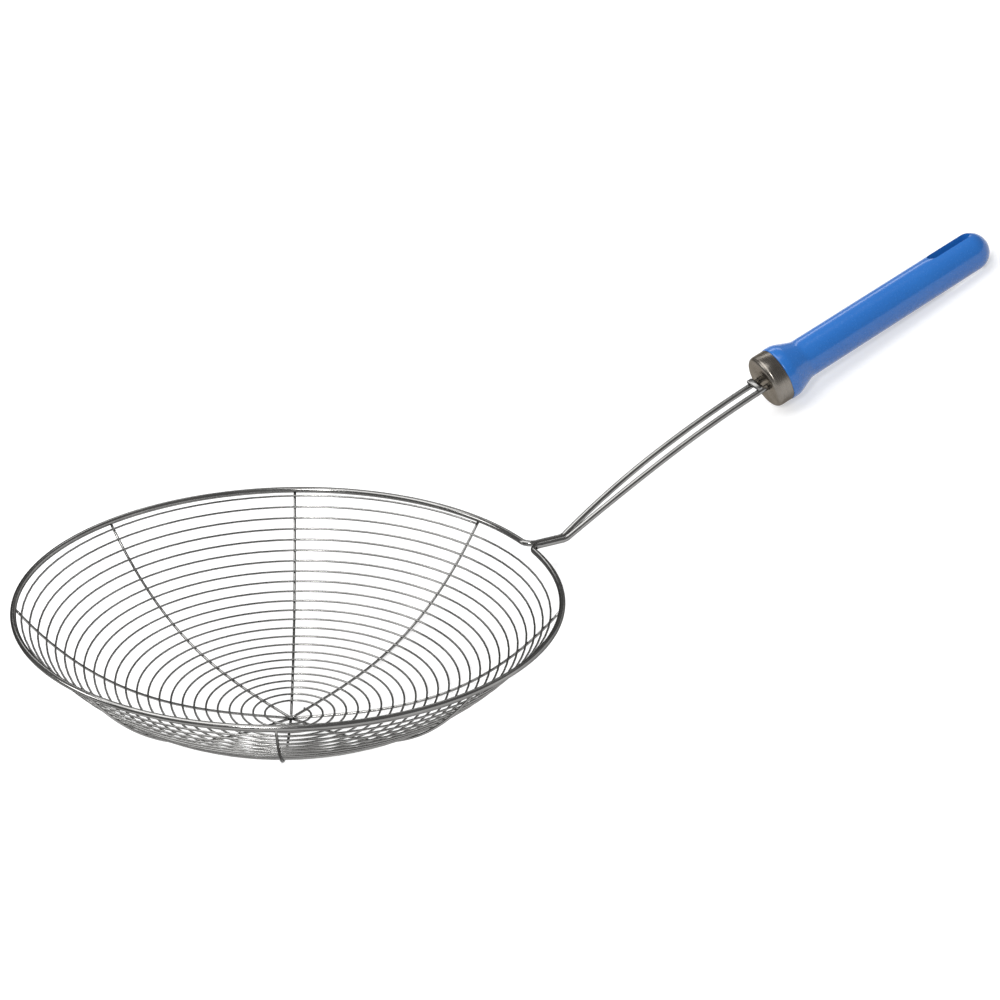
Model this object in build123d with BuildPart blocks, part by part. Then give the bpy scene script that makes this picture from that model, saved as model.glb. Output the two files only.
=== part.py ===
# Spider skimmer: a wire bowl on a bent frame wire, with a steel ferrule and a plastic handle.
# Lengths are in millimetres. The skimmer lies as it rests on a table: on the bowl's underside and
# on the handle's end. The bowl's own frame has its origin at the centre of the rim circle,
# +X towards the handle and +Z out of the bowl's mouth. Each sub-part is placed on that plane.
import os
from math import cos, pi, radians, sin, sqrt, tan

from build123d import *

os.makedirs("parts", exist_ok=True)

# Wires. The thin ones are long, so their sections are triangles as high as the wire is thick,
# and the frame wire's section is an octagon.
frame_wire_diameter = 2.8
frame_wire_sides = 8
rib_wire_diameter = 1.2
coil_wire_diameter = 0.9
thin_wire_sides = 3
side_share = 1 / 3
weld_gap = 0.03

# Bowl
rim_diameter = 240.0
bowl_depth = 54.4
bowl_power = 3.25
cone_share = 0.22
rib_bearings = (17.5, 62.0, 105.5, 152.5, 198.0, 241.0, 284.5, 328.0)
rib_tip_radius = 2.0
rib_spans = 3
coil_turns = 24
coil_rim_gap = 0.5
coil_tip_radius = 8.0

# Neck and shanks
neck_bend_radius = 5.0
neck_gap = 0.1
stub_length = 11.2
kink_radius = 6.0
shank_rise_angle = 33.4
shank_spread_angle = 4.6
shank_length = 113.0
shank_centre_distance = 7.6
shank_tail_length = 60.0

# Bridge across the shanks
bridge_length = 10.6
bridge_width = 3.0
bridge_thickness = 1.2
bridge_corner_radius = 0.8
bridge_distance = 3.8

# Ferrule
ferrule_diameter = 25.0
ferrule_length = 8.0
ferrule_wall = 1.2
ferrule_chamfer = 1.2
shank_hole_clearance = 0.1
overrun = 1.0

# Handle
handle_angle = 21.0
handle_length = 117.0
collar_diameter = 25.6
collar_length = 4.0
shoulder_length = 9.0
neck_diameter = 18.4
end_diameter = 17.7
spigot_clearance = 0.1
slot_length = 23.0
slot_width = 6.0
slot_end_distance = 6.0
slot_turn_angle = 8.0

# Derived sizes of the bowl: the coil's centre line lies on a surface of revolution that meets
# the rim plane at the rim's inner edge, and the ribs lie against the coil's outside.
frame_radius = frame_wire_diameter / 2
rim_radius = rim_diameter / 2 - frame_radius
mouth_radius = rim_radius - frame_radius
coil_corner_radius = coil_wire_diameter * (1 - side_share)
rib_corner_radius = rib_wire_diameter * (1 - side_share)
rib_offset = coil_corner_radius + weld_gap + rib_wire_diameter * side_share


def bowl_height(radius):
    share = radius / mouth_radius
    return bowl_depth * (cone_share * share + (1 - cone_share) * share**bowl_power - 1)


def bowl_slope(radius):
    share = radius / mouth_radius
    curved = (1 - cone_share) * bowl_power * share ** (bowl_power - 1)
    return bowl_depth / mouth_radius * (cone_share + curved)


def slant(radius, steps=100):
    """Length of the bowl's profile from its tip out to a radius."""
    step = radius / steps
    return sum(step * sqrt(1 + bowl_slope(step * (i + 0.5)) ** 2) for i in range(steps))


def halve(too_high, low, high, rounds=50):
    """The value between low and high at which too_high turns true."""
    for _ in range(rounds):
        middle = (low + high) / 2
        low, high = (low, middle) if too_high(middle) else (middle, high)
    return low


def around(bearing, radius, height):
    angle = radians(bearing)
    return Vector(radius * cos(angle), radius * sin(angle), height)


def rib_point(bearing, radius):
    """A point of a rib's centre line, which runs at rib_offset outside the coil's surface."""
    slope = bowl_slope(radius)
    steep = sqrt(1 + slope**2)
    out = rib_offset * slope / steep
    return around(bearing, radius + out, bowl_height(radius) - rib_offset / steep)


def rib_direction(bearing, radius):
    return around(bearing, 1, bowl_slope(radius)).normalized()


def outward(bearing, slope):
    """The direction out of the bowl's surface where it has this slope."""
    return around(bearing, slope, -1).normalized()


def rib_to_rim(radius):
    return (rib_point(0, radius) - Vector(rim_radius, 0, 0)).length


rib_rim_radius = halve(
    lambda radius: rib_to_rim(radius) < frame_radius + weld_gap, 0, mouth_radius
)

# Derived places of the shanks and the handle in the bowl's frame. The shanks leave the neck side
# by side, kink upwards and rise in one slow arc to the ferrule.
stub_offset = (frame_wire_diameter + neck_gap) / 2
bend_centre_y = stub_offset + neck_bend_radius
bend_centre_x = sqrt((rim_radius + neck_bend_radius) ** 2 - bend_centre_y**2)
bend_start = Vector(bend_centre_x, bend_centre_y, 0) * (
    rim_radius / (rim_radius + neck_bend_radius)
)
kink_x = bend_centre_x + stub_length
shank_offset = shank_centre_distance / 2


def rise(angle):
    return Vector(cos(radians(angle)), 0, sin(radians(angle)))


kink_turn = radians(shank_rise_angle)
kink_end = Vector(kink_x + kink_radius * sin(kink_turn), 0, kink_radius * (1 - cos(kink_turn)))
handle_axis = rise(handle_angle)
chord_angle = (shank_rise_angle + handle_angle) / 2
ferrule_front = kink_end + rise(chord_angle) * shank_length
shank_bulge = shank_length / 2 * tan(radians(shank_rise_angle - handle_angle) / 4)
shank_middle = (kink_end + ferrule_front) / 2 + rise(chord_angle + 90) * shank_bulge
handle_start = ferrule_front + handle_axis * ferrule_length
handle_end = handle_start + handle_axis * handle_length
end_radius = end_diameter / 2
end_centre = handle_end - handle_axis * end_radius

# The table: the plane under the lowest point of the bowl, on its coil or on the rib beside the
# handle, and under the handle's rounded end. Each round finds both points again for the last plane.
table_rounds = 40
probe_count = 200
probe_radii = [rib_rim_radius * i / probe_count for i in range(probe_count)]


def lowest_of_bowl(up):
    ribs = [rib_point(rib_bearings[0], radius) - up * rib_corner_radius for radius in probe_radii]
    coils = [
        around(0, radius, bowl_height(radius)) - up * coil_corner_radius for radius in probe_radii
    ]
    return min(ribs + coils, key=up.dot)


def lowest_of_end(up):
    return end_centre - up * end_radius


table_up = rise(90 + handle_angle)
for _ in range(table_rounds):
    forward = lowest_of_end(table_up) - lowest_of_bowl(table_up)
    forward = Vector(forward.X, 0, forward.Z).normalized()
    table_up = Vector(-forward.Z, 0, forward.X)
table = Plane(origin=lowest_of_end(table_up), x_dir=forward, z_dir=table_up)
far_x = table.to_local_coords(Vector(-rim_radius, 0, 0)).X - frame_radius
near_x = table.to_local_coords(end_centre).X + end_radius
table = Plane(
    origin=table.from_local_coords(Vector((far_x + near_x) / 2, 0, 0)),
    x_dir=forward,
    z_dir=table_up,
)
bowl = Plane(table.location.inverse())
handle_plane = Plane(
    origin=bowl.from_local_coords(handle_start),
    x_dir=bowl.from_local_coords(handle_axis) - bowl.origin,
    z_dir=bowl.from_local_coords(rise(handle_angle + 90)) - bowl.origin,
)


def placed(point):
    return bowl.from_local_coords(point)


def turned(direction):
    return (bowl.from_local_coords(direction) - bowl.origin).normalized()


def biarc(start, start_direction, end, end_direction):
    """Two arcs from start to end that keep both directions, all in the bowl's frame."""
    chord = end - start
    both = chord.dot(start_direction + end_direction)
    bend = 2 * (1 - start_direction.dot(end_direction))
    reach = chord.dot(chord) / (sqrt(both**2 + bend * chord.dot(chord)) + both)
    start_corner = start + start_direction * reach
    end_corner = end - end_direction * reach
    middle = (start_corner + end_corner) / 2
    TangentArc(placed(start), placed(middle), tangent=turned(start_direction))
    TangentArc(placed(middle), placed(end), tangent=turned(end_corner - start_corner))


def section_plane(start, direction, corner_direction):
    return Plane(origin=placed(start), x_dir=turned(corner_direction), z_dir=turned(direction))


# Frame wire: the rim ring and both shanks, one bent wire. Past the kink the shanks spread to
# their full distance, and from their middle they run side by side to the ferrule.
ahead = Vector(1, 0, 0)


def spreading(side):
    """The direction in which one shank leaves its kink."""
    spread = radians(side * shank_spread_angle)
    return rise(shank_rise_angle) * cos(spread) + Vector(0, sin(spread), 0)


def shank_points(side):
    """Corners of one shank's line, from the rim out to the end of the tail in the handle."""
    offset = Vector(0, side * stub_offset, 0)
    wide_offset = Vector(0, side * shank_offset, 0)
    kink = Vector(kink_x, 0, 0) + offset
    kink_reach = kink_radius * tan(radians(ahead.get_angle(spreading(side))) / 2)
    entry = ferrule_front + wide_offset
    return {
        "rim": Vector(bend_start.X, side * bend_start.Y, 0),
        "stub": Vector(bend_centre_x, 0, 0) + offset,
        "kink": kink,
        "rise": kink + (ahead + spreading(side)) * kink_reach,
        "middle": shank_middle + wide_offset,
        "entry": entry,
        "tail": entry + handle_axis * shank_tail_length,
    }


with BuildPart() as frame_wire:
    with BuildLine() as frame_path:
        near_side = shank_points(1)
        far_side = shank_points(-1)
        Line(placed(near_side["tail"]), placed(near_side["entry"]))
        TangentArc(
            placed(near_side["entry"]), placed(near_side["middle"]), tangent=turned(-handle_axis)
        )
        biarc(near_side["middle"], -rise(chord_angle), near_side["rise"], -spreading(1))
        TangentArc(
            placed(near_side["rise"]), placed(near_side["kink"]), tangent=turned(-spreading(1))
        )
        Line(placed(near_side["kink"]), placed(near_side["stub"]))
        TangentArc(placed(near_side["stub"]), placed(near_side["rim"]), tangent=turned(-ahead))
        ThreePointArc(
            placed(near_side["rim"]),
            placed(Vector(-rim_radius, 0, 0)),
            placed(far_side["rim"]),
        )
        TangentArc(
            placed(far_side["rim"]),
            placed(far_side["stub"]),
            tangent=turned(Vector(-far_side["rim"].Y, far_side["rim"].X, 0)),
        )
        Line(placed(far_side["stub"]), placed(far_side["kink"]))
        TangentArc(placed(far_side["kink"]), placed(far_side["rise"]), tangent=turned(ahead))
        biarc(far_side["rise"], spreading(-1), far_side["middle"], rise(chord_angle))
        TangentArc(
            placed(far_side["middle"]),
            placed(far_side["entry"]),
            tangent=turned(rise(chord_angle)),
        )
        Line(placed(far_side["entry"]), placed(far_side["tail"]))
    with BuildSketch(section_plane(near_side["tail"], -handle_axis, rise(handle_angle + 90))):
        RegularPolygon(frame_radius, frame_wire_sides)
    sweep(path=frame_path.line)
frame_wire.part.label = "frame_wire"
export_step(frame_wire.part, "parts/frame_wire.step")

# Coil: one unbroken wire, wound from the rim down to the tip with an even slant pitch
coil_rim_radius = mouth_radius - coil_wire_diameter / 2 - coil_rim_gap
coil_pitch = (slant(coil_rim_radius) - slant(coil_tip_radius)) / coil_turns
turn_slants = [slant(coil_rim_radius) - coil_pitch * i / 2 for i in range(2 * coil_turns + 1)]
turn_radii = [
    halve(lambda radius: slant(radius) > length, 0, mouth_radius) for length in turn_slants
]


def coil_point(half_turn):
    radius = turn_radii[half_turn]
    return around(rib_bearings[0] + 180 * half_turn, radius, bowl_height(radius))


def coil_direction(half_turn):
    radius = turn_radii[half_turn]
    slope = bowl_slope(radius)
    inward = -coil_pitch / (2 * pi) / sqrt(1 + slope**2)
    bearing = rib_bearings[0] + 180 * half_turn
    along = around(bearing + 90, radius, 0)
    return (along + around(bearing, inward, inward * slope)).normalized()


with BuildPart() as coil_wire:
    with BuildLine() as coil_path:
        for i in range(2 * coil_turns):
            biarc(coil_point(i), coil_direction(i), coil_point(i + 1), coil_direction(i + 1))
    corner_direction = outward(rib_bearings[0], bowl_slope(mouth_radius) / 2)
    with BuildSketch(section_plane(coil_point(0), coil_direction(0), corner_direction)):
        RegularPolygon(coil_corner_radius, thin_wire_sides)
    sweep(path=coil_path.line)
coil_wire.part.label = "coil_wire"
export_step(coil_wire.part, "parts/coil_wire.step")

samples_per_arc = 8
coil_samples = [
    edge.position_at(i / samples_per_arc)
    for edge in coil_path.edges()
    for i in range(samples_per_arc)
]
half_turn_samples = 2 * samples_per_arc
least_gap = min(
    (a - b).length
    for i, a in enumerate(coil_samples)
    for b in coil_samples[i + half_turn_samples :]
)
print("coil pitch", round(coil_pitch, 2), "least gap", round(least_gap - coil_wire_diameter, 2))

# Ribs: each runs from the rim's inside down to the tip, outside the coil
rib_radii = [
    rib_rim_radius + (rib_tip_radius - rib_rim_radius) * i / rib_spans
    for i in range(rib_spans + 1)
]
for number, bearing in enumerate(rib_bearings, start=1):
    with BuildPart() as rib:
        with BuildLine() as rib_path:
            for radius, next_radius in zip(rib_radii, rib_radii[1:]):
                biarc(
                    rib_point(bearing, radius),
                    -rib_direction(bearing, radius),
                    rib_point(bearing, next_radius),
                    -rib_direction(bearing, next_radius),
                )
        rib_start = rib_point(bearing, rib_rim_radius)
        start_direction = -rib_direction(bearing, rib_rim_radius)
        corner_direction = outward(bearing, bowl_slope(rib_rim_radius))
        with BuildSketch(section_plane(rib_start, start_direction, corner_direction)):
            RegularPolygon(rib_corner_radius, thin_wire_sides)
        sweep(path=rib_path.line)
    rib.part.label = f"rib_{number}"
    export_step(rib.part, f"parts/rib_{number}.step")

# Bridge: a short flat bar welded across the tops of both shanks, in front of the ferrule
bridge_centre = Vector(-(ferrule_length + bridge_distance), 0, frame_radius + weld_gap)
bridge_plane = Plane(
    origin=handle_plane.from_local_coords(bridge_centre),
    x_dir=handle_plane.x_dir,
    z_dir=handle_plane.z_dir,
)
with BuildPart() as shank_bridge:
    with BuildSketch(bridge_plane):
        RectangleRounded(bridge_width, bridge_length, bridge_corner_radius)
    extrude(amount=bridge_thickness)
shank_bridge.part.label = "shank_bridge"
export_step(shank_bridge.part, "parts/shank_bridge.step")

# Ferrule: a thin steel cap on the handle's spigot, with a hole for each shank
ferrule_plane = Plane(
    origin=placed(ferrule_front), x_dir=-handle_plane.y_dir, z_dir=handle_plane.x_dir
)
shank_places = [(shank_offset, 0), (-shank_offset, 0)]
shank_hole_radius = frame_radius + shank_hole_clearance
with BuildPart() as ferrule:
    with BuildSketch(ferrule_plane):
        Circle(ferrule_diameter / 2)
    extrude(amount=ferrule_length)
    ferrule_axis = Axis(ferrule_plane.origin, ferrule_plane.z_dir)
    front_edge = ferrule.edges().filter_by(GeomType.CIRCLE).sort_by(ferrule_axis)[0]
    chamfer(front_edge, ferrule_chamfer)
    with BuildSketch(ferrule_plane.offset(ferrule_wall)):
        Circle(ferrule_diameter / 2 - ferrule_wall)
    extrude(amount=ferrule_length, mode=Mode.SUBTRACT)
    with BuildSketch(ferrule_plane.offset(-overrun)):
        with Locations(*shank_places):
            Circle(shank_hole_radius)
    extrude(amount=ferrule_wall + 2 * overrun, mode=Mode.SUBTRACT)
ferrule.part.label = "ferrule"
export_step(ferrule.part, "parts/ferrule.step")

# Handle: a turned grip with a spigot in the ferrule, bores for the shank tails and a slot
spigot_radius = ferrule_diameter / 2 - ferrule_wall - spigot_clearance
spigot_length = ferrule_length - ferrule_wall - spigot_clearance
shoulder_end = collar_length + shoulder_length
slot_turn = radians(slot_turn_angle)
slot_plane = Plane(
    origin=handle_plane.origin,
    x_dir=handle_plane.x_dir,
    z_dir=handle_plane.z_dir * cos(slot_turn) + handle_plane.y_dir * sin(slot_turn),
)
with BuildPart() as handle:
    with BuildSketch(Plane(handle_plane.origin, handle_plane.x_dir, handle_plane.y_dir)):
        with BuildLine():
            collar = Polyline(
                (0, collar_diameter / 2),
                (collar_length, collar_diameter / 2),
                (shoulder_end, neck_diameter / 2),
            )
            body = Line(collar @ 1, (handle_length - end_radius, end_radius))
            end = RadiusArc(body @ 1, (handle_length, 0), end_radius)
            Polyline(
                end @ 1,
                (-spigot_length, 0),
                (-spigot_length, spigot_radius),
                (0, spigot_radius),
                collar @ 0,
            )
        make_face()
    revolve(axis=Axis(handle_plane.origin, handle_plane.x_dir))
    with BuildSketch(ferrule_plane.offset(ferrule_wall)):
        with Locations(*shank_places):
            Circle(shank_hole_radius)
    extrude(amount=shank_tail_length - ferrule_wall + shank_hole_clearance, mode=Mode.SUBTRACT)
    with BuildSketch(slot_plane):
        with Locations((handle_length - slot_end_distance - slot_length / 2, 0)):
            SlotOverall(slot_length, slot_width)
    extrude(amount=collar_diameter, both=True, mode=Mode.SUBTRACT)
handle.part.label = "handle"
export_step(handle.part, "parts/handle.step")
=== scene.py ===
# The looks of the spider skimmer: round drawn wires, a brushed ferrule and a glossy moulded handle.
# Lengths are in metres. The pieces are laid out in the bowl's own frame, with its origin at the
# centre of the rim circle, +X towards the handle and +Z out of the mouth, and are then tilted and
# moved to where the bowl rests on the table.
from math import acos, cos, pi, radians, sin, sqrt, tan

import bmesh
import bpy
from mathutils import Matrix, Vector


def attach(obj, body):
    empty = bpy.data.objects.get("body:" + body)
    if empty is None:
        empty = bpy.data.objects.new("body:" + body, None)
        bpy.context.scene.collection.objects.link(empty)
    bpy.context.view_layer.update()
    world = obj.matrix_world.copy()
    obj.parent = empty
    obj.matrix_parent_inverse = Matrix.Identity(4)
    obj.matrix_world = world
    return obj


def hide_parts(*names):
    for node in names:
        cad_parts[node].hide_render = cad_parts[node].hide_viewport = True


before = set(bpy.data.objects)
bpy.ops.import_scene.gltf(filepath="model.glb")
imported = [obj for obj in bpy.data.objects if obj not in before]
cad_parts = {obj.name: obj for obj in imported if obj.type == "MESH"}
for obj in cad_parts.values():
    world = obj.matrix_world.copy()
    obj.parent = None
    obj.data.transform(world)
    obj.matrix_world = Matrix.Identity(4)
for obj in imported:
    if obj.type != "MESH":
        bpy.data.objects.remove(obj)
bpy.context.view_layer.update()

# Where the bowl rests: the centre of its rim and its tilt towards the handle
bowl_centre = Vector((-0.1271515, 0, 0.0651782))
bowl_tilt = 24.2195

# Wires
frame_wire_radius = 0.00134
rib_wire_radius = 0.0006
coil_wire_radius = 0.00045
weld_gap = 0.00003

# Bowl
rim_radius = 0.11847
mouth_radius = 0.1172
bowl_depth = 0.0544
bowl_power = 3.25
cone_share = 0.22
rib_bearings = (17.5, 62.0, 105.5, 152.5, 198.0, 241.0, 284.5, 328.0)
rib_tip_radius = 0.001
coil_turns = 24
coil_rim_radius = 0.11625
coil_tip_radius = 0.008

# Neck and shanks
neck_bend_radius = 0.005
neck_reach = 0.1236
stub_offset = 0.00145
stub_length = 0.0112
kink_radius = 0.006
shank_rise_angle = 33.4
shank_spread_angle = 4.6
shank_length = 0.113
shank_offset = 0.0038
shank_tail_length = 0.030

# Bridge, ferrule and handle
bridge_length = 0.0106
bridge_width = 0.003
bridge_thickness = 0.0012
bridge_corner_radius = 0.0008
bridge_edge_radius = 0.0003
bridge_distance = 0.0038
ferrule_radius = 0.0125
ferrule_length = 0.008
ferrule_edge_radius = 0.0022
shank_hole_radius = 0.0016
shank_hole_depth = 0.005
handle_angle = 21.0
handle_length = 0.11698
collar_radius = 0.0128
collar_edge_radius = 0.0006
collar_length = 0.004
shoulder_length = 0.009
shoulder_radius = 0.008
neck_radius = 0.0092
end_radius = 0.00883
slot_length = 0.023
slot_width = 0.006
slot_end_distance = 0.006
slot_turn_angle = 8.0
slot_edge_radius = 0.0008

# Mesh fineness: sides of round sections, and steps along routes and edges
frame_wire_sides = 24
rib_wire_sides = 12
coil_wire_sides = 10
shank_hole_sides = 32
ferrule_sides = 96
handle_sides = 128
rim_steps = 240
rib_steps = 48
coil_arc_steps = 20
neck_bend_steps = 12
stub_steps = 6
kink_steps = 8
lower_shank_steps = 12
upper_shank_steps = 16
grip_steps = 12
end_steps = 24
slot_end_steps = 12
bridge_corner_steps = 6
edge_steps = 8
profile_steps = 100
halving_rounds = 40

# Camera
camera_aim = Vector((-0.02125, 0.00058, 0.04534))
camera_distance = 2.41087
camera_bearing = 74.4366
camera_elevation = 33.8340
camera_roll = -26.2201
camera_lens = 198.0


# Light: the floor's own glow as the camera and reflections see it, and the studio around it
floor_glow = 0.5
floor_grey = 0.6
floor_size = 6
studio_grey = 0.28

# Lamps: bearing and elevation in degrees, distance, width and height in metres, power in watts
lamps = {
    "top_lamp": (120, 82, 1.6, 1.3, 1.3, 17),
    "key_lamp": (150, 40, 1.6, 0.5, 0.5, 5),
    "front_lamp": (-118, 46, 1.8, 0.35, 0.35, 13),
    "back_lamp": (60, 30, 1.8, 1.4, 0.3, 4),
}

# Span of values that a noise texture mostly has
noise_low = 0.3
noise_high = 0.7


# Routes in the bowl's frame
def bowl_height(radius):
    share = radius / mouth_radius
    return bowl_depth * (cone_share * share + (1 - cone_share) * share**bowl_power - 1)


def bowl_slope(radius):
    curved = (1 - cone_share) * bowl_power * (radius / mouth_radius) ** (bowl_power - 1)
    return bowl_depth / mouth_radius * (cone_share + curved)


def around(bearing, radius, height):
    return Vector((radius * cos(radians(bearing)), radius * sin(radians(bearing)), height))


def rise(angle):
    return Vector((cos(radians(angle)), 0, sin(radians(angle))))


def tangent_arc(start, direction, end, steps):
    """Points after start along the arc that leaves it in this direction and ends at end."""
    chord = end - start
    turn = direction.angle(chord)
    if turn < 1e-5:
        return [start + chord * (i + 1) / steps for i in range(steps)]
    axis = direction.cross(chord).normalized()
    points = []
    for i in range(steps):
        part_turn = turn * (i + 1) / steps
        reach = chord.length * sin(part_turn) / sin(turn)
        points.append(start + Matrix.Rotation(part_turn, 3, axis) @ direction.normalized() * reach)
    return points


def biarc(start, start_direction, end, end_direction, steps):
    """Points after start along two arcs to end that keep both directions."""
    chord = end - start
    both = chord.dot(start_direction + end_direction)
    bend = 2 * (1 - start_direction.dot(end_direction))
    reach = chord.dot(chord) / (sqrt(both**2 + bend * chord.dot(chord)) + both)
    start_corner = start + start_direction * reach
    end_corner = end - end_direction * reach
    middle = (start_corner + end_corner) / 2
    first = tangent_arc(start, start_direction, middle, steps)
    return first + tangent_arc(middle, end_corner - start_corner, end, steps)


bend_y = stub_offset + neck_bend_radius
bend_x = sqrt(neck_reach**2 - bend_y**2)
kink_x = bend_x + stub_length
kink_turn = radians(shank_rise_angle)
kink_end = Vector((kink_x + kink_radius * sin(kink_turn), 0, kink_radius * (1 - cos(kink_turn))))
handle_axis = rise(handle_angle)
chord_angle = (shank_rise_angle + handle_angle) / 2
shank_bulge = shank_length / 2 * tan(radians(shank_rise_angle - handle_angle) / 4)
ferrule_front = kink_end + rise(chord_angle) * shank_length
shank_middle = (kink_end + ferrule_front) / 2 + rise(chord_angle + 90) * shank_bulge
handle_start = ferrule_front + handle_axis * ferrule_length

bowl_place = Matrix.Translation(bowl_centre) @ Matrix.Rotation(radians(bowl_tilt), 4, "Y")
handle_turn = Matrix.Rotation(radians(-handle_angle), 4, "Y")
handle_place = bowl_place @ Matrix.Translation(handle_start) @ handle_turn


# Mesh helpers
def new_piece(name, mesh_data, place):
    mesh_data.transform(place)
    piece = bpy.data.objects.new(name, mesh_data)
    bpy.context.scene.collection.objects.link(piece)
    return piece


def tube(name, points, radius, sides, place):
    """A round wire along points, with flat ends. Its section is carried along without twisting."""
    mesh = bmesh.new()
    directions = []
    for i, point in enumerate(points):
        before, after = points[max(i - 1, 0)], points[min(i + 1, len(points) - 1)]
        directions.append((after - before).normalized())
    side = directions[0].orthogonal().normalized()
    rings = []
    for point, direction in zip(points, directions):
        side = (side - direction * side.dot(direction)).normalized()
        other = direction.cross(side)
        ring = []
        for k in range(sides):
            angle = 2 * pi * k / sides
            ring.append(mesh.verts.new(point + (side * cos(angle) + other * sin(angle)) * radius))
        rings.append(ring)
    for ring, next_ring in zip(rings, rings[1:]):
        for k in range(sides):
            m = (k + 1) % sides
            mesh.faces.new((ring[k], ring[m], next_ring[m], next_ring[k]))
    mesh.faces.new(reversed(rings[0]))
    mesh.faces.new(rings[-1])
    for face in mesh.faces:
        face.smooth = len(face.verts) == 4
    data = bpy.data.meshes.new(name)
    mesh.to_mesh(data)
    mesh.free()
    return new_piece(name, data, place)


def lathe(name, profile, sides, place):
    """A solid of revolution about X. The profile's first and last points lie on the axis."""
    mesh = bmesh.new()
    rings = []
    for x, radius in profile[1:-1]:
        ring = []
        for k in range(sides):
            angle = 2 * pi * k / sides
            ring.append(mesh.verts.new((x, radius * cos(angle), radius * sin(angle))))
        rings.append(ring)
    for ring, next_ring in zip(rings, rings[1:]):
        for k in range(sides):
            m = (k + 1) % sides
            mesh.faces.new((ring[k], next_ring[k], next_ring[m], ring[m]))
    mesh.faces.new(rings[0])
    mesh.faces.new(reversed(rings[-1]))
    data = bpy.data.meshes.new(name)
    mesh.to_mesh(data)
    mesh.free()
    return new_piece(name, data, place)


def rounded(corner, before, after, radius, steps=edge_steps):
    """Points of the arc that rounds a profile's corner between its two neighbours."""
    corner, before, after = (Vector((*point, 0)) for point in (corner, before, after))
    arrive = (corner - before).normalized()
    leave = (after - corner).normalized()
    reach = radius * tan(arrive.angle(leave) / 2)
    start = corner - arrive * reach
    points = [start] + tangent_arc(start, arrive, corner + leave * reach, steps)
    return [(point.x, point.y) for point in points]


def apply_modifiers(piece):
    bpy.context.view_layer.update()
    shown = piece.evaluated_get(bpy.context.evaluated_depsgraph_get())
    data = bpy.data.meshes.new_from_object(shown)
    piece.modifiers.clear()
    piece.data = data


def cut_out(piece, cutter):
    cut = piece.modifiers.new("cut", "BOOLEAN")
    cut.operation = "DIFFERENCE"
    cut.solver = "EXACT"
    cut.object = cutter
    apply_modifiers(piece)
    bpy.data.objects.remove(cutter)


def soften(piece, width, segments, angle=35):
    bevel = piece.modifiers.new("edges", "BEVEL")
    bevel.width = width
    bevel.segments = segments
    bevel.limit_method = "ANGLE"
    bevel.angle_limit = radians(angle)
    bevel.miter_outer = "MITER_ARC"
    apply_modifiers(piece)
    for polygon in piece.data.polygons:
        polygon.use_smooth = True
    piece.data.set_sharp_from_angle(angle=radians(angle))


# Materials
def new_material(name, colour, metallic, roughness):
    material = bpy.data.materials.new(name)
    material.use_nodes = True
    nodes = material.node_tree.nodes
    shader = nodes["Principled BSDF"]
    shader.inputs["Base Color"].default_value = (*colour, 1)
    shader.inputs["Metallic"].default_value = metallic
    shader.inputs["Roughness"].default_value = roughness
    return material, nodes, material.node_tree.links, shader


def noise(nodes, links, scale, detail):
    """A noise texture in object space."""
    coordinates = nodes.new("ShaderNodeTexCoord")
    texture = nodes.new("ShaderNodeTexNoise")
    texture.inputs["Scale"].default_value = scale
    texture.inputs["Detail"].default_value = detail
    links.new(coordinates.outputs["Object"], texture.inputs["Vector"])
    return texture


def ramp(nodes, links, source, low, high, dark, light):
    """A colour ramp from dark to light over a stretch of a texture's value."""
    colours = nodes.new("ShaderNodeValToRGB")
    colours.color_ramp.elements[0].position = low
    colours.color_ramp.elements[0].color = (*dark, 1)
    colours.color_ramp.elements[1].position = high
    colours.color_ramp.elements[1].color = (*light, 1)
    links.new(source, colours.inputs["Fac"])
    return colours


def spread(nodes, links, source, low, high):
    """Maps a texture's value to the range from low to high."""
    mapped = nodes.new("ShaderNodeMapRange")
    mapped.inputs["From Min"].default_value = noise_low
    mapped.inputs["From Max"].default_value = noise_high
    mapped.inputs["To Min"].default_value = low
    mapped.inputs["To Max"].default_value = high
    links.new(source, mapped.inputs["Value"])
    return mapped


def bump(nodes, links, shader, source, strength, distance):
    relief = nodes.new("ShaderNodeBump")
    relief.inputs["Strength"].default_value = strength
    relief.inputs["Distance"].default_value = distance
    links.new(source, relief.inputs["Height"])
    links.new(relief.outputs["Normal"], shader.inputs["Normal"])


def drawn_wire(name, colour, edge_colour, roughness, grain_scale):
    """Bright drawn steel: fine uneven polish, faint stains and shallow draw marks."""
    stain_scale = 45
    stain_share = 0.75
    grain_strength = 0.15
    grain_depth = 0.00005
    material, nodes, links, shader = new_material(name, colour, 1.0, roughness)
    shader.inputs["Specular Tint"].default_value = (*edge_colour, 1)
    stain = noise(nodes, links, stain_scale, 3)
    darker = tuple(channel * stain_share for channel in colour)
    shade = ramp(nodes, links, stain.outputs["Fac"], 0.35, 0.65, darker, colour)
    links.new(shade.outputs["Color"], shader.inputs["Base Color"])
    grain = noise(nodes, links, grain_scale, 4)
    polish = spread(nodes, links, grain.outputs["Fac"], roughness * 0.7, roughness * 1.4)
    links.new(polish.outputs["Result"], shader.inputs["Roughness"])
    bump(nodes, links, shader, grain.outputs["Fac"], grain_strength, grain_depth)
    return material


def vector_math(nodes, links, operation, source, constant):
    step = nodes.new("ShaderNodeVectorMath")
    step.operation = operation
    links.new(source, step.inputs[0])
    step.inputs[1].default_value = constant
    return step


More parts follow.
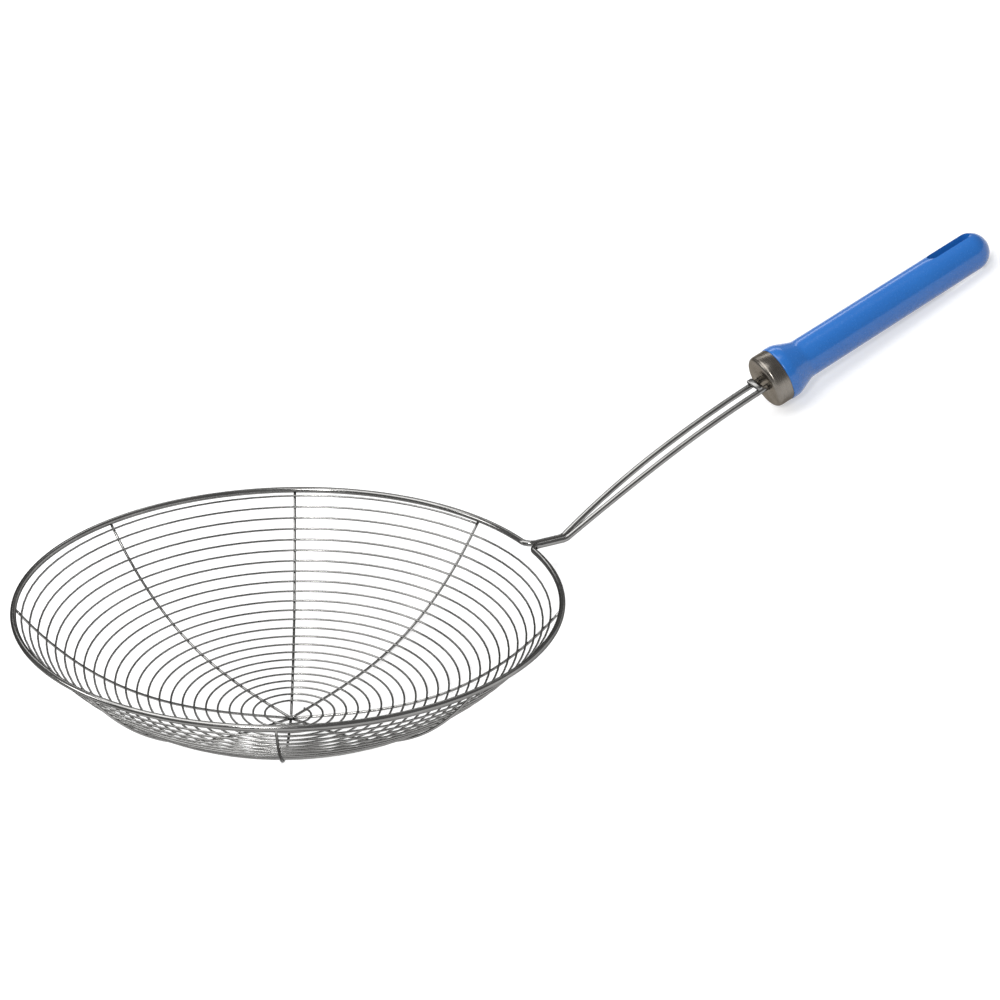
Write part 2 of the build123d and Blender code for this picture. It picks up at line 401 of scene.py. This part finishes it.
def brushed_steel():
    """The ferrule: satin steel, brushed in circles around its axis on its side and its face."""
    colour = (0.24, 0.22, 0.195)
    edge_colour = (0.5, 0.47, 0.43)
    stain_share = 0.75
    marks_scale = 7000
    marks_strength = 0.1
    marks_depth = 0.00002
    material, nodes, links, shader = new_material("ferrule_satin_steel", colour, 1.0, 0.3)
    shader.inputs["Specular Tint"].default_value = (*edge_colour, 1)
    axis = handle_place.to_3x3() @ Vector((1, 0, 0))
    place = nodes.new("ShaderNodeTexCoord")
    from_start = vector_math(
        nodes, links, "SUBTRACT", place.outputs["Object"], handle_place.translation
    )
    along = vector_math(nodes, links, "DOT_PRODUCT", from_start.outputs["Vector"], axis)
    around_axis = vector_math(nodes, links, "CROSS_PRODUCT", from_start.outputs["Vector"], axis)
    distance = vector_math(nodes, links, "LENGTH", around_axis.outputs["Vector"], (0, 0, 0))
    ring_place = nodes.new("ShaderNodeCombineXYZ")
    links.new(along.outputs["Value"], ring_place.inputs["X"])
    links.new(distance.outputs["Value"], ring_place.inputs["Y"])
    marks = nodes.new("ShaderNodeTexNoise")
    marks.inputs["Scale"].default_value = marks_scale
    marks.inputs["Detail"].default_value = 5
    links.new(ring_place.outputs["Vector"], marks.inputs["Vector"])
    tangent = vector_math(nodes, links, "NORMALIZE", around_axis.outputs["Vector"], (0, 0, 0))
    links.new(tangent.outputs["Vector"], shader.inputs["Tangent"])
    shader.inputs["Anisotropic"].default_value = 0.7
    cloud = noise(nodes, links, 190, 3)
    darker = tuple(channel * stain_share for channel in colour)
    shade = ramp(nodes, links, cloud.outputs["Fac"], noise_low, noise_high, darker, colour)
    links.new(shade.outputs["Color"], shader.inputs["Base Color"])
    polish = spread(nodes, links, marks.outputs["Fac"], 0.18, 0.34)
    links.new(polish.outputs["Result"], shader.inputs["Roughness"])
    bump(nodes, links, shader, marks.outputs["Fac"], marks_strength, marks_depth)
    return material


def blue_plastic():
    """The handle: glossy blue moulding with slight waviness and a faint uneven gloss."""
    colour = (0.020, 0.160, 0.53)
    darker = (0.018, 0.150, 0.51)
    wave_strength = 0.06
    wave_depth = 0.0002
    material, nodes, links, shader = new_material("handle_blue_plastic", colour, 0.0, 0.25)
    shader.inputs["Specular IOR Level"].default_value = 0.4
    shader.inputs["Coat Weight"].default_value = 0.4
    shader.inputs["Coat Roughness"].default_value = 0.08
    cloud = noise(nodes, links, 30, 2)
    shade = ramp(nodes, links, cloud.outputs["Fac"], 0.35, 0.65, darker, colour)
    links.new(shade.outputs["Color"], shader.inputs["Base Color"])
    gloss = noise(nodes, links, 900, 4)
    polish = spread(nodes, links, gloss.outputs["Fac"], 0.22, 0.29)
    links.new(polish.outputs["Result"], shader.inputs["Roughness"])
    wave = noise(nodes, links, 90, 1)
    bump(nodes, links, shader, wave.outputs["Fac"], wave_strength, wave_depth)
    return material


frame_steel = drawn_wire(
    "frame_bright_steel",
    colour=(0.29, 0.287, 0.28),
    edge_colour=(0.12, 0.12, 0.12),
    roughness=0.15,
    grain_scale=700,
)
thin_steel = drawn_wire(
    "thin_bright_steel",
    colour=(0.30, 0.297, 0.29),
    edge_colour=(0.14, 0.14, 0.14),
    roughness=0.20,
    grain_scale=1500,
)
ferrule_steel = brushed_steel()
handle_plastic = blue_plastic()


def finish_piece(piece, material, slot, *nodes):
    piece.data.materials.clear()
    piece.data.materials.append(material)
    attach(piece, "root")
    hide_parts(*nodes)


# Frame wire
ahead = Vector((1, 0, 0))


def shank(side):
    """Points of one shank, from the rim's end out to its tail in the handle."""
    offset = Vector((0, side * stub_offset, 0))
    wide_offset = Vector((0, side * shank_offset, 0))
    spread_turn = radians(side * shank_spread_angle)
    spreading = rise(shank_rise_angle) * cos(spread_turn) + Vector((0, sin(spread_turn), 0))
    rim_end = Vector((bend_x, side * bend_y, 0)) * (rim_radius / neck_reach)
    back = Vector((rim_end.y, -rim_end.x, 0)) * side
    kink = Vector((kink_x, 0, 0)) + offset
    kink_reach = kink_radius * tan(ahead.angle(spreading) / 2)
    rise_start = kink + (ahead + spreading) * kink_reach
    entry = ferrule_front + wide_offset
    stub = Vector((bend_x, 0, 0)) + offset
    middle = shank_middle + wide_offset
    points = [rim_end] + tangent_arc(rim_end, back, stub, neck_bend_steps)
    points += tangent_arc(stub, ahead, kink, stub_steps)
    points += tangent_arc(kink, ahead, rise_start, kink_steps)
    points += biarc(rise_start, spreading, middle, rise(chord_angle), lower_shank_steps)
    points += tangent_arc(middle, rise(chord_angle), entry, upper_shank_steps)
    points.append(entry + handle_axis * shank_tail_length)
    return points


near_shank, far_shank = shank(1), shank(-1)
neck_bearing = acos(near_shank[0].x / rim_radius)
rim = []
for i in range(1, rim_steps):
    angle = neck_bearing + (2 * pi - 2 * neck_bearing) * i / rim_steps
    rim.append(Vector((rim_radius * cos(angle), rim_radius * sin(angle), 0)))
frame_route = near_shank[::-1] + rim + far_shank
frame_piece = tube(
    "frame_wire_round", frame_route, frame_wire_radius, frame_wire_sides, bowl_place
)
finish_piece(frame_piece, frame_steel, "steel_wire", "frame_wire")


# Coil
def slant(radius):
    """Length of the bowl's profile from its tip out to a radius."""
    step = radius / profile_steps
    return sum(step * sqrt(1 + bowl_slope(step * (i + 0.5)) ** 2) for i in range(profile_steps))


def radius_at(length):
    low, high = 0, mouth_radius
    for _ in range(halving_rounds):
        middle = (low + high) / 2
        low, high = (low, middle) if slant(middle) > length else (middle, high)
    return low


coil_pitch = (slant(coil_rim_radius) - slant(coil_tip_radius)) / coil_turns
turn_radii = [
    radius_at(slant(coil_rim_radius) - coil_pitch * i / 2) for i in range(2 * coil_turns + 1)
]


def coil_point(half_turn):
    radius = turn_radii[half_turn]
    return around(rib_bearings[0] + 180 * half_turn, radius, bowl_height(radius))


def coil_direction(half_turn):
    radius = turn_radii[half_turn]
    slope = bowl_slope(radius)
    inward = -coil_pitch / (2 * pi) / sqrt(1 + slope**2)
    bearing = rib_bearings[0] + 180 * half_turn
    return (around(bearing + 90, radius, 0) + around(bearing, inward, inward * slope)).normalized()


coil_route = [coil_point(0)]
for i in range(2 * coil_turns):
    coil_route += biarc(
        coil_point(i), coil_direction(i), coil_point(i + 1), coil_direction(i + 1), coil_arc_steps
    )
coil_piece = tube("coil_wire_round", coil_route, coil_wire_radius, coil_wire_sides, bowl_place)
finish_piece(coil_piece, thin_steel, "steel_wire", "coil_wire")

# Ribs
rib_offset = coil_wire_radius + rib_wire_radius + weld_gap


def rib_point(bearing, radius):
    slope = bowl_slope(radius)
    steep = sqrt(1 + slope**2)
    out = rib_offset * slope / steep
    return around(bearing, radius + out, bowl_height(radius) - rib_offset / steep)


rib_rim_radius = mouth_radius
while (rib_point(0, rib_rim_radius) - Vector((rim_radius, 0, 0))).length < frame_wire_radius:
    rib_rim_radius -= weld_gap
for number, bearing in enumerate(rib_bearings, start=1):
    rib_route = []
    for i in range(rib_steps + 1):
        radius = rib_rim_radius + (rib_tip_radius - rib_rim_radius) * i / rib_steps
        rib_route.append(rib_point(bearing, radius))
    rib_piece = tube(f"rib_{number}_round", rib_route, rib_wire_radius, rib_wire_sides, bowl_place)
    finish_piece(rib_piece, thin_steel, "steel_wire", f"rib_{number}")

# Bridge across the shanks
def prism(name, outline, low, high, place):
    """A straight solid on an outline in the XY plane, between two heights."""
    mesh = bmesh.new()
    low_ring = [mesh.verts.new((x, y, low)) for x, y in outline]
    high_ring = [mesh.verts.new((x, y, high)) for x, y in outline]
    for k in range(len(outline)):
        m = (k + 1) % len(outline)
        mesh.faces.new((low_ring[k], low_ring[m], high_ring[m], high_ring[k]))
    mesh.faces.new(reversed(low_ring))
    mesh.faces.new(high_ring)
    bmesh.ops.remove_doubles(mesh, verts=mesh.verts, dist=1e-7)
    data = bpy.data.meshes.new(name)
    mesh.to_mesh(data)
    mesh.free()
    return new_piece(name, data, place)


def rounded_rectangle(centre_x, length, width, radius, steps):
    """Outline of a rectangle with rounded corners, its length along X."""
    outline = []
    for quarter in range(4):
        side_x = 1 if quarter in (0, 3) else -1
        side_y = 1 if quarter < 2 else -1
        for i in range(steps + 1):
            angle = pi / 2 * (quarter + i / steps)
            outline.append(
                (
                    centre_x + side_x * (length / 2 - radius) + radius * cos(angle),
                    side_y * (width / 2 - radius) + radius * sin(angle),
                )
            )
    return outline


bridge_base = frame_wire_radius + weld_gap
bridge_piece = prism(
    "shank_bridge_bar",
    rounded_rectangle(
        -ferrule_length - bridge_distance,
        bridge_width,
        bridge_length,
        bridge_corner_radius,
        bridge_corner_steps,
    ),
    bridge_base,
    bridge_base + bridge_thickness,
    handle_place,
)
soften(bridge_piece, bridge_edge_radius, 4)
finish_piece(bridge_piece, frame_steel, "steel_wire", "shank_bridge")

# Ferrule
ferrule_profile = [(-ferrule_length, 0)]
ferrule_profile += rounded(
    (-ferrule_length, ferrule_radius),
    (-ferrule_length, 0),
    (0, ferrule_radius),
    ferrule_edge_radius,
)
ferrule_profile += [(0, ferrule_radius), (0, 0)]
ferrule_piece = lathe("ferrule_cap", ferrule_profile, ferrule_sides, handle_place)
for side in (1, -1):
    hole_place = Matrix.Translation(
        (-ferrule_length + shank_hole_depth / 2, side * shank_offset, 0)
    )
    hole_mesh = bmesh.new()
    bmesh.ops.create_cone(
        hole_mesh,
        cap_ends=True,
        segments=shank_hole_sides,
        radius1=shank_hole_radius,
        radius2=shank_hole_radius,
        depth=2 * shank_hole_depth,
        matrix=hole_place @ Matrix.Rotation(pi / 2, 4, "Y"),
    )
    hole_data = bpy.data.meshes.new("shank_hole")
    hole_mesh.to_mesh(hole_data)
    hole_mesh.free()
    cut_out(ferrule_piece, new_piece("shank_hole", hole_data, handle_place))
soften(ferrule_piece, 0.0002, 2)
finish_piece(ferrule_piece, ferrule_steel, "ferrule_steel", "ferrule")

# Handle
shoulder_end = collar_length + shoulder_length
body_end = handle_length - end_radius
handle_corners = [
    (0, 0),
    (0, collar_radius),
    (collar_length, collar_radius),
    (shoulder_end, neck_radius),
    (body_end, end_radius),
]
handle_profile = [handle_corners[0]]
edge_radii = [collar_edge_radius, shoulder_radius, shoulder_radius]
for i, edge_radius in enumerate(edge_radii, start=1):
    before, corner, after = handle_corners[i - 1 : i + 2]
    handle_profile += rounded(corner, before, after, edge_radius)
grip_start = handle_profile[-1]
for i in range(1, grip_steps):
    share = i / grip_steps
    handle_profile.append(
        (
            grip_start[0] + (body_end - grip_start[0]) * share,
            grip_start[1] + (end_radius - grip_start[1]) * share,
        )
    )
for i in range(end_steps + 1):
    angle = pi / 2 * i / end_steps
    handle_profile.append((body_end + end_radius * sin(angle), end_radius * cos(angle)))
handle_profile[-1] = (handle_length, 0)
handle_piece = lathe("handle_grip", handle_profile, handle_sides, handle_place)
slot_place = handle_place @ Matrix.Rotation(radians(-slot_turn_angle), 4, "X")
slot_centre = handle_length - slot_end_distance - slot_length / 2
slot_cutter = prism(
    "hanging_slot",
    rounded_rectangle(slot_centre, slot_length, slot_width, slot_width / 2, slot_end_steps),
    -2 * collar_radius,
    2 * collar_radius,
    slot_place,
)
cut_out(handle_piece, slot_cutter)
soften(handle_piece, slot_edge_radius, 4, 50)
finish_piece(handle_piece, handle_plastic, "blue_plastic", "handle")


# Floor, lamps and camera
def floor():
    mesh = bmesh.new()
    bmesh.ops.create_grid(mesh, x_segments=1, y_segments=1, size=floor_size)
    data = bpy.data.meshes.new("floor")
    mesh.to_mesh(data)
    mesh.free()
    piece = bpy.data.objects.new("floor", data)
    bpy.context.scene.collection.objects.link(piece)
    colour = (floor_grey, floor_grey, floor_grey)
    material, nodes, links, shader = new_material("floor_white", colour, 0.0, 0.9)
    glow = nodes.new("ShaderNodeEmission")
    glow.inputs["Color"].default_value = (1, 1, 1, 1)
    path = nodes.new("ShaderNodeLightPath")
    seen = path.outputs["Is Camera Ray"]
    for ray in ("Is Glossy Ray", "Is Transmission Ray"):
        either = nodes.new("ShaderNodeMath")
        either.operation = "MAXIMUM"
        links.new(seen, either.inputs[0])
        links.new(path.outputs[ray], either.inputs[1])
        seen = either.outputs["Value"]
    strength = nodes.new("ShaderNodeMath")
    strength.operation = "MULTIPLY"
    strength.inputs[1].default_value = floor_glow
    both = nodes.new("ShaderNodeAddShader")
    links.new(seen, strength.inputs[0])
    links.new(strength.outputs["Value"], glow.inputs["Strength"])
    links.new(shader.outputs["BSDF"], both.inputs[0])
    links.new(glow.outputs["Emission"], both.inputs[1])
    links.new(both.outputs["Shader"], nodes["Material Output"].inputs["Surface"])
    data.materials.append(material)


def lamp(name, bearing, elevation, distance, width, height, power):
    """A soft square lamp that faces the middle of the skimmer."""
    data = bpy.data.lights.new(name, "AREA")
    data.shape = "RECTANGLE"
    data.size, data.size_y = width, height
    data.energy = power
    piece = bpy.data.objects.new(name, data)
    toward = around(bearing, cos(radians(elevation)), sin(radians(elevation)))
    piece.location = toward * distance
    piece.rotation_euler = toward.to_track_quat("Z", "Y").to_euler()
    bpy.context.scene.collection.objects.link(piece)


def camera():
    data = bpy.data.cameras.new("camera")
    data.lens = camera_lens
    piece = bpy.data.objects.new("camera", data)
    level = cos(radians(camera_elevation))
    ahead = around(camera_bearing, level, -sin(radians(camera_elevation)))
    piece.location = camera_aim - ahead * camera_distance
    turn = ahead.to_track_quat("-Z", "Y").to_matrix().to_4x4()
    roll = Matrix.Rotation(radians(camera_roll), 4, "Z")
    piece.matrix_world = Matrix.Translation(piece.location) @ turn @ roll
    bpy.context.scene.collection.objects.link(piece)
    bpy.context.scene.camera = piece


floor()
for lamp_name, lamp_values in lamps.items():
    lamp(lamp_name, *lamp_values)
camera()
world = bpy.data.worlds.new("studio")
bpy.context.scene.world = world
world.use_nodes = True
background = world.node_tree.nodes["Background"]
background.inputs["Color"].default_value = (studio_grey, studio_grey, studio_grey, 1)
background.inputs["Strength"].default_value = 1
bpy.context.scene.view_settings.view_transform = "Standard"
